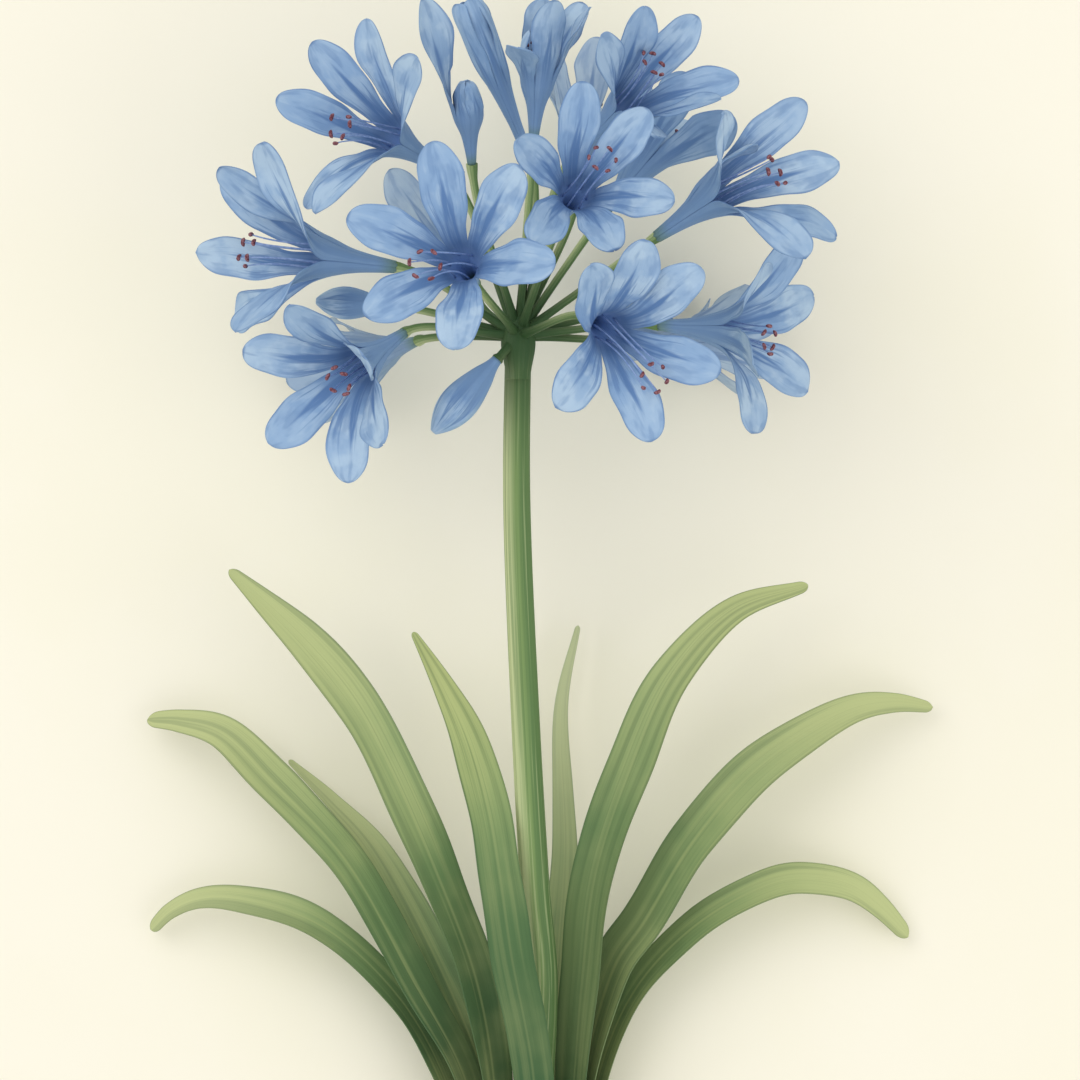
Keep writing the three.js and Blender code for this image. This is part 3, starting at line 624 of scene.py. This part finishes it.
def make_leaf(name, seed, width, tip, taper, lean, tone, route):
    """One leaf: a shallow channel with uneven edges, whose face leans to one side."""
    random = np.random.RandomState(seed)
    t = np.r_[np.linspace(0, 0.97, 110), np.linspace(0.972, 1, 22)]
    path, tangent = route_at(route, t)
    length = np.sum(np.linalg.norm(np.diff(path, axis=0), axis=1))
    along = t[:, None]
    tangent = unit(mix(ALONG, tangent, smooth(along * 15)))
    right, up = across(tangent)
    turn = np.radians(mix(*lean, along))
    face = up * np.cos(turn) + right * np.sin(turn)
    side = np.cross(tangent, face)

    half = leaf_half(width, tip, taper, along, length)
    u = columns_across(LEAF["columns"])
    phase = random.uniform(0, 6.28, 4)
    right_edge, left_edge, wander, swell = (
        np.sin(along * beats + start) for beats, start in zip(LEAF["beats"], phase))
    wide = u * half * (1 + LEAF["uneven"] * (wander * u + swell))
    wave = right_edge * np.clip(u, 0, 1) ** 2 + left_edge * np.clip(-u, 0, 1) ** 2
    channel = half * mix(*LEAF["channel"], along)
    lift = channel * (0.4 * np.abs(u) + 0.6 * u * u) + LEAF["wave"] * wave * smooth(along * 6)
    middle = mix(LEAF["mid"], LEAF["tip"], along)
    edge = mix(LEAF["edge"], LEAF["tip"], along) * LEAF["thin_edge"]
    thick = mix(middle, edge, np.abs(u) ** 1.4) / 2

    shell = Shell()
    add_blade(shell, u, path, side, face, wide, lift, thick, t, tone)
    piece = shell.finish(name + "_blade", [LEAF_GREEN])
    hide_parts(name)


for number, (name, entry) in enumerate(LEAVES.items()):
    make_leaf(name, LEAF_SEED + number, **entry)

# Florets --------------------------------------------------------------------------------

MIDLINE_STEPS = 24
TUBE_ROWS = 14
TEPAL_COLUMNS = 15
LOBE_ROWS = np.r_[np.linspace(0.03, 0.6, 18),
                  0.62 + 0.38 * np.sin(np.linspace(0.04, np.pi / 2, 16))]


def lobe_width(v):
    """Width of a tepal at the fraction v of its length, as a share of its widest."""
    waist, widest, power = FLORET["waist"], FLORET["widest"], FLORET["roundness"]
    inner = mix(waist, 1, smooth(v / widest))
    outer = np.sqrt(np.clip(1 - (np.clip(v - widest, 0, 1) / (1 - widest)) ** power, 0.0012, 1))
    return np.where(v < widest, inner, outer)


def throat_lean(opened):
    """How far the tepals lean outward where they leave the throat, in degrees."""
    return FLORET["lean"] + 0.25 * opened


def lobe_midline(v, opened, length, throat):
    """Radius, height and slope of a tepal's midline at the fraction v of its length. The more
    closed a tepal is, the more its tip turns inward."""
    steps = (np.arange(MIDLINE_STEPS) + 0.5) / MIDLINE_STEPS
    hooked = FLORET["hook"] * min(1, max(0, -opened / 20))

    def slope(u):
        outward = throat_lean(opened) + opened * (1 - (1 - u) ** 1.7)
        return np.radians(outward - hooked * smooth((u - 0.7) / 0.3))

    angle = slope(steps[None] * v[:, None])
    stride = length * v / MIDLINE_STEPS
    return (throat + np.sin(angle).sum(1) * stride,
            FLORET["tube"] + np.cos(angle).sum(1) * stride, slope(v))


def tube_profile(height, throat, slope):
    """Outer radius of the tube at a height, meeting the tepals at their slope. The knots hold
    the height, the radius and the slope of the foot, the knee and the throat."""
    knee = (FLORET["knee"], mix(FLORET["base"], throat, 0.38), 0.22 * throat / FLORET["throat"])
    knots = ((0, FLORET["base"], 0.1), knee, (FLORET["tube"], throat, np.tan(slope)))
    first = 0 if height < FLORET["knee"] else 1
    (x0, y0, s0), (x1, y1, s1) = knots[first:first + 2]
    w = (height - x0) / (x1 - x0)
    span = x1 - x0
    return (y0 * (1 + 2 * w) * (1 - w) ** 2 + s0 * span * w * (1 - w) ** 2
            + y1 * w * w * (3 - 2 * w) + s1 * span * w * w * (w - 1))


def wrapped(angle):
    """The same angle between -180 and 180 degrees."""
    return (angle + 540) % 360 - 180


def tepal_midline(base, swing, opened, length, throat, twist, inner):
    """Rows up the tube and then along the tepal. Gives the fraction of the tepal's length, the
    radius, the points, and the directions across the tepal and out of its inner face."""
    heights = np.linspace(0, FLORET["tube"], TUBE_ROWS)
    wall = FLORET["wall"] / 2
    slope_below = np.radians(throat_lean(opened))
    stem = np.array([tube_profile(h, throat, slope_below) for h in heights])
    radius, height, slope = lobe_midline(LOBE_ROWS, opened, length, throat)
    radius = radius - TEPAL["tuck"] * inner * smooth(LOBE_ROWS / 0.25)
    radius = np.r_[stem - wall, radius - wall * (1 - smooth(LOBE_ROWS / 0.3))][:, None]
    height = np.r_[heights, height][:, None]
    slope = np.r_[np.arctan(np.gradient(stem, heights)), slope][:, None]
    v = np.r_[np.zeros(TUBE_ROWS), LOBE_ROWS][:, None]
    angle = np.radians(base + swing * smooth(v / 0.8))
    outward = np.concatenate((np.cos(angle), np.sin(angle), 0 * angle), 1)
    level = np.concatenate((-np.sin(angle), np.cos(angle), 0 * angle), 1)
    square = UP * np.sin(slope) - outward * np.cos(slope)
    turn = twist * smooth(v / 0.7)
    side = level * np.cos(turn) - square * np.sin(turn)
    face = square * np.cos(turn) + level * np.sin(turn)
    return v, radius, outward * radius + UP * height, side, face


def add_tepal(shell, base, swing, opened, length, broad, beside, throat, twist, inner, random):
    """One tepal with its sixth of the tube. An inner one lies under its neighbours' edges, and
    beside is how far along it the longer neighbour reaches, past which it has room to widen."""
    v, radius, centre, side, face = tepal_midline(base, swing, opened, length, throat, twist,
                                                  inner)
    u = columns_across(TEPAL_COLUMNS)
    sector = np.radians(FLORET["sector"]) * u
    free = smooth(v / 0.25)

    lopsided = 1 + TEPAL["lopsided"] * random.uniform(-1, 1) * u * smooth(v / 0.4)
    room = radius * mix(0.66, 0.48, smooth(opened / 15)) + 20 * smooth((v - beside) / 0.25)
    half = np.minimum(FLORET["half"] * broad * lobe_width(v), room) * lopsided
    phase = random.uniform(0, 2 * np.pi, 3)
    ragged = 1 + TEPAL["ragged"] * np.sin(v * 17 + phase[2] + 2 * np.sign(u))
    wide = mix(radius * np.sin(sector), u * half * ragged, free)

    cup = TEPAL["cup"] * half ** 2 / np.maximum(radius, half)
    beats = random.uniform(9, 13)
    ruffle = np.sin(v * beats + phase[0] + np.sign(u) * phase[1]) * np.abs(u) ** 3
    crease = np.exp(-(u / 0.16) ** 2) * (1 - v ** 2)
    fold = np.exp(-((np.abs(u) - 0.4) / 0.2) ** 2) * (1 - v)
    relief = (TEPAL["ruffle"] * ruffle * smooth(v / 0.5) - TEPAL["crease"] * crease
              + TEPAL["fold"] * fold)
    lift = mix(radius * (1 - np.cos(sector)), cup * u * u, free) + free * relief
    thick = FLORET["wall"] / 2 * mix(0.75, 0.28, np.abs(u) ** 1.5) * mix(1.0, 0.8, v)

    along = np.r_[np.linspace(-0.62, 0, TUBE_ROWS), LOBE_ROWS]
    add_blade(shell, u, centre, side, face, wide, lift, thick, along, random.uniform(0, 1))


def add_stamen(shell, angle, sway, reach, random):
    """A thin curved filament from the throat, with an anther lying across its end."""
    out = np.array((np.cos(angle), np.sin(angle), 0))
    pull = sway[1] * direction(sway[0], 0)
    tall = STAMEN["length"] * reach

    def at(radius, height, share):
        return out * radius + (0, 0, height) + pull * share

    inside, below = STAMEN["foot"]
    start = at(FLORET["throat"] - inside, FLORET["tube"] - below, 0)
    end = at(STAMEN["spread"], FLORET["tube"] + tall, 1)
    t = np.linspace(0, 1, 18)
    path, tangent = bezier(start, at(STAMEN["gather"], FLORET["tube"] + tall * 0.3, 0.1),
                           at(STAMEN["gather"], FLORET["tube"] + tall * 0.7, 0.5), end, t)
    add_tube(shell, path, tangent, mix(*STAMEN["filament"], t), 8, paint=1)
    heading = unit(np.cross(tangent[-1], out + 0.3 * random.uniform(-1, 1, 3)))
    s = np.linspace(-1, 1, 11)
    radius, half = STAMEN["anther"]
    bow = end + heading * s[:, None] * half
    bow = bow + tangent[-1] * (0.3 - 0.5 * s * s)[:, None]
    waisted = 1 - 0.16 * np.exp(-(s / 0.2) ** 2)
    swell = radius * np.sqrt(np.clip(1 - s * s, 0.02, 1)) * waisted
    add_tube(shell, bow, unit(np.gradient(bow, axis=0)), swell, 10, paint=2)


def stand(base, facing, size):
    """The move that stands a bloom on its pedicel's end, its mouth along its facing."""
    axis = direction(*facing)
    level = unit(np.cross(UP, axis))
    axes = np.stack((level, np.cross(axis, level), axis))
    origin = HUB + base + axis * SEAT_GAP
    return lambda points: points @ axes * size + origin


def make_floret(name, seed, base, facing, size, opened, tips, bend=(0,) * 6, turn=None,
                long=(1,) * 6, broad=1, throat=1, sway=None, reach=1, pale=False):
    """One floret: six tepals with the tube, and its stamens where it has a sway."""
    random = np.random.RandomState(seed)
    start = tips[0] + np.mean([wrapped(tip - tips[0] - 60 * k) for k, tip in enumerate(tips)])
    most = min(FLORET["twist"], max(0, opened)) * np.cos(np.radians(facing[1]))
    shell = Shell()
    for k, tip in enumerate(tips):
        twist = turn[k] if turn else most * np.cos(np.radians(tip))
        beside = max(long[(k + 1) % 6], long[k - 1]) / long[k]
        add_tepal(shell, start + 60 * k, wrapped(tip - start - 60 * k), opened + bend[k],
                  FLORET["lobe"] * long[k], broad, beside, FLORET["throat"] * throat,
                  np.radians(twist), k % 2, random)
    if sway:
        for k in range(6):
            angle = np.radians(start + (2 * k + 0.35) * FLORET["sector"])
            add_stamen(shell, angle, sway, reach * random.uniform(0.86, 1.0), random)
    piece = shell.finish(name + "_bloom", [PETAL_BEHIND if pale else PETAL, FILAMENT, ANTHER],
                         stand(base, facing, size))
    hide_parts(name)


for number, (name, entry) in enumerate(FLORETS.items()):
    make_floret(name, FLORET_SEED + number, **entry)


def make_bud(name, base, facing, length, radius):
    """A closed bud: six tepals folded together, which meet in soft creases."""
    t = np.sin(np.linspace(0, np.pi / 2, 40))[:, None]
    angle = np.arange(BUD["sides"]) / BUD["sides"] * 2 * np.pi
    swell = np.maximum(BUD["thinnest"], radius * np.sin(np.pi * (0.12 + 0.83 * t ** 1.5)) ** 0.9)
    swell = swell * mix(BUD["foot"], 1, smooth(t / 0.25))
    swell[-1] = BUD["tip"]
    crease = BUD["crease"] * smooth(t / 0.3) * np.abs(np.cos(3 * angle + t)) ** 6
    reach = swell * (1 - crease)
    rings = np.stack((reach * np.cos(angle), reach * np.sin(angle),
                      np.broadcast_to(length * t, reach.shape)), -1)
    petal = np.abs((angle * 3 / np.pi + 0.5 + t / np.pi) % 2 - 1) * 2 - 1
    place = place_grid(reach.shape, petal * 0.8, mix(-0.5, 0.75, t), -1.0)
    shell = Shell()
    shell.loft(rings, place, 0.4)
    piece = shell.finish(name + "_closed", [PETAL], stand(base, facing, 1))
    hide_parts(name)


for name, entry in BUDS.items():
    make_bud(name, **entry)

# Scape, hub and pedicels ----------------------------------------------------------------


def add_scape(shell):
    t = np.linspace(0, 1, 200)
    path, tangent = route_at(SCAPE_ROUTE, t, even=False)
    tangent = unit(mix(ALONG, tangent, smooth(t * 14)[:, None]))
    add_tube(shell, path, tangent, mix(*SCAPE_RADIUS, t ** 0.8), 60, ridge=0.03,
             tone=smooth((t - 0.8) / 0.2) * 0.8, along=t * 6)


def add_hub(shell):
    """The swelling that the pedicels leave. It starts inside the scape, below the solid's own,
    and flares until it is full."""
    start, full = -0.35, 0.4
    t = np.linspace(start, 1, 36)
    path = HUB + ALONG * mix(-HUB_RADIUS["along"], HUB_RADIUS["along"] * 0.8, t)[:, None]
    flare = mix(0.7, 1, smooth((t - start) / (full - start)))
    swell = np.where(t < full, flare, np.sin(np.pi * mix(0.26, 0.86, t)))
    add_tube(shell, path, np.broadcast_to(ALONG, path.shape), HUB_RADIUS["across"] * swell, 48,
             ridge=0.05, tone=flare)


def add_pedicel(shell, base, facing):
    """A curved stalk from the hub to a bloom, wider at both ends, and dark near the hub."""
    base = np.array(base, float)
    heading = direction(*facing)
    reach = np.linalg.norm(base)
    end = HUB + base
    t = np.linspace(0, 1, 36)
    path, tangent = bezier(HUB + base * HUB_RADIUS["across"] * 0.3 / reach,
                           HUB + base * PEDICEL["straight"],
                           end - heading * reach * PEDICEL["arrive"], end, t)
    path = np.concatenate((path, [end + heading * 0.5]))
    tangent = np.concatenate((tangent, [heading]))
    width = mix(PEDICEL["hub"], PEDICEL["end"], t ** 3) * PEDICEL["slim"]
    width = (width + PEDICEL["flare"] * np.exp(-t * reach / 4)
             + PEDICEL["collar"] * smooth((t - 0.9) / 0.1))
    fade = smooth(t * reach / PEDICEL["dark"])
    add_tube(shell, path, tangent, np.r_[width, PEDICEL["end"] + 0.3], 16, ridge=0.06,
             tone=0.95 - 0.85 * np.r_[fade, fade[-1]], along=np.r_[t, 1] * 2)


def make_scape():
    """The scape, the hub and a pedicel for each bloom, grown as one piece."""
    shell = Shell()
    add_scape(shell)
    add_hub(shell)
    for entry in (*FLORETS.values(), *BUDS.values()):
        add_pedicel(shell, entry["base"], entry["facing"])
    piece = shell.finish("scape_stalk", [STALK])
    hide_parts("scape")


make_scape()

# Crown ----------------------------------------------------------------------------------


def squarish(wave):
    """Cosine or sine of an angle, bent so that a circle of them turns into a rounded square."""
    return np.sign(wave) * np.abs(wave) ** CROWN["flat"]


def make_crown():
    """The cut stub: fluted sides with a flat underside, and inner rings on its cut face."""
    length, height, bevel = CROWN["length"], CROWN["height"], CROWN["bevel"]
    y = length * smooth(np.linspace(0, 1, 40))[:, None]
    angle = np.arange(120) / 120 * 2 * np.pi
    cos, sin = np.cos(angle), np.sin(angle)
    inset = bevel * (1 - np.sqrt(np.clip(1 - (1 - y / bevel).clip(0) ** 2, 0, 1)))
    inset = inset + bevel * 0.4 * ((y - length) / bevel + 1).clip(0) ** 2
    flute = sum(deep * (1 + np.cos(number * angle + start))
                for deep, number, start in CROWN_FLUTES)
    flute = flute * (sin > -0.98)
    wide = CROWN["width"] / 2 - inset - flute
    tall = height / 2 - inset - flute
    rings = np.stack((CROWN["middle"] + wide * squarish(cos), np.broadcast_to(y, wide.shape),
                      height / 2 + tall * squarish(sin)), -1)
    place = place_grid(wide.shape, cos, y / length, sin)

    inward = np.linspace(0.05, 0.96, 9)[:, None, None]
    centre = np.array((CROWN["middle"], 0, height / 2))
    rings = np.concatenate((mix(centre, rings[0], inward), rings))
    place = np.concatenate((place[0] * inward, place))
    shell = Shell()
    shell.loft(rings, place)
    piece = shell.finish("crown_stub", [CROWN_FLESH])
    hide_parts("crown")


make_crown()

# Floor, light and camera ----------------------------------------------------------------


def add_floor():
    mesh = bpy.data.meshes.new("floor")
    corners = [(x * FLOOR_HALF, y * FLOOR_HALF, 0)
               for x, y in ((-1, -1), (1, -1), (1, 1), (-1, 1))]
    mesh.from_pydata(corners, [], [(0, 1, 2, 3)])
    mesh.materials.append(plain_paint("paper_floor", shade(245, 240, 222),
                                      shade(244, 239, 219), 8.0, 0.9, 0.00005))
    floor = bpy.data.objects.new("floor", mesh)
    bpy.context.scene.collection.objects.link(floor)


def add_lamp(name, place, size, power):
    """A soft round lamp, turned toward the plant."""
    light = bpy.data.lights.new(name, "AREA")
    light.shape = "DISK"
    light.size = size
    light.energy = power
    made = bpy.data.objects.new(name, light)
    made.location = place
    made.rotation_euler = (Vector(LAMP_AIM) - Vector(place)).to_track_quat("-Z", "Y").to_euler()
    bpy.context.scene.collection.objects.link(made)


def add_world():
    world = bpy.data.worlds.new("studio")
    world.use_nodes = True
    background = world.node_tree.nodes["Background"]
    background.inputs["Color"].default_value = (1, 1, 1, 1)
    background.inputs["Strength"].default_value = WORLD_LIGHT
    bpy.context.scene.world = world


def add_camera():
    """A camera that looks straight down, with the plant's length upright in its view."""
    lens = bpy.data.cameras.new("camera")
    lens.lens = CAMERA["lens"]
    lens.sensor_width = CAMERA["sensor"]
    lens.clip_start = 0.05
    lens.clip_end = 20
    camera = bpy.data.objects.new("camera", lens)
    camera.location = np.array((CAMERA["x"], CAMERA["y"], CAMERA["z"])) * MM + SHIFT
    bpy.context.scene.collection.objects.link(camera)
    bpy.context.scene.camera = camera


add_floor()
for name, entry in LAMPS.items():
    add_lamp(name, **entry)
add_world()
add_camera()
bpy.context.scene.view_settings.view_transform = "Standard"
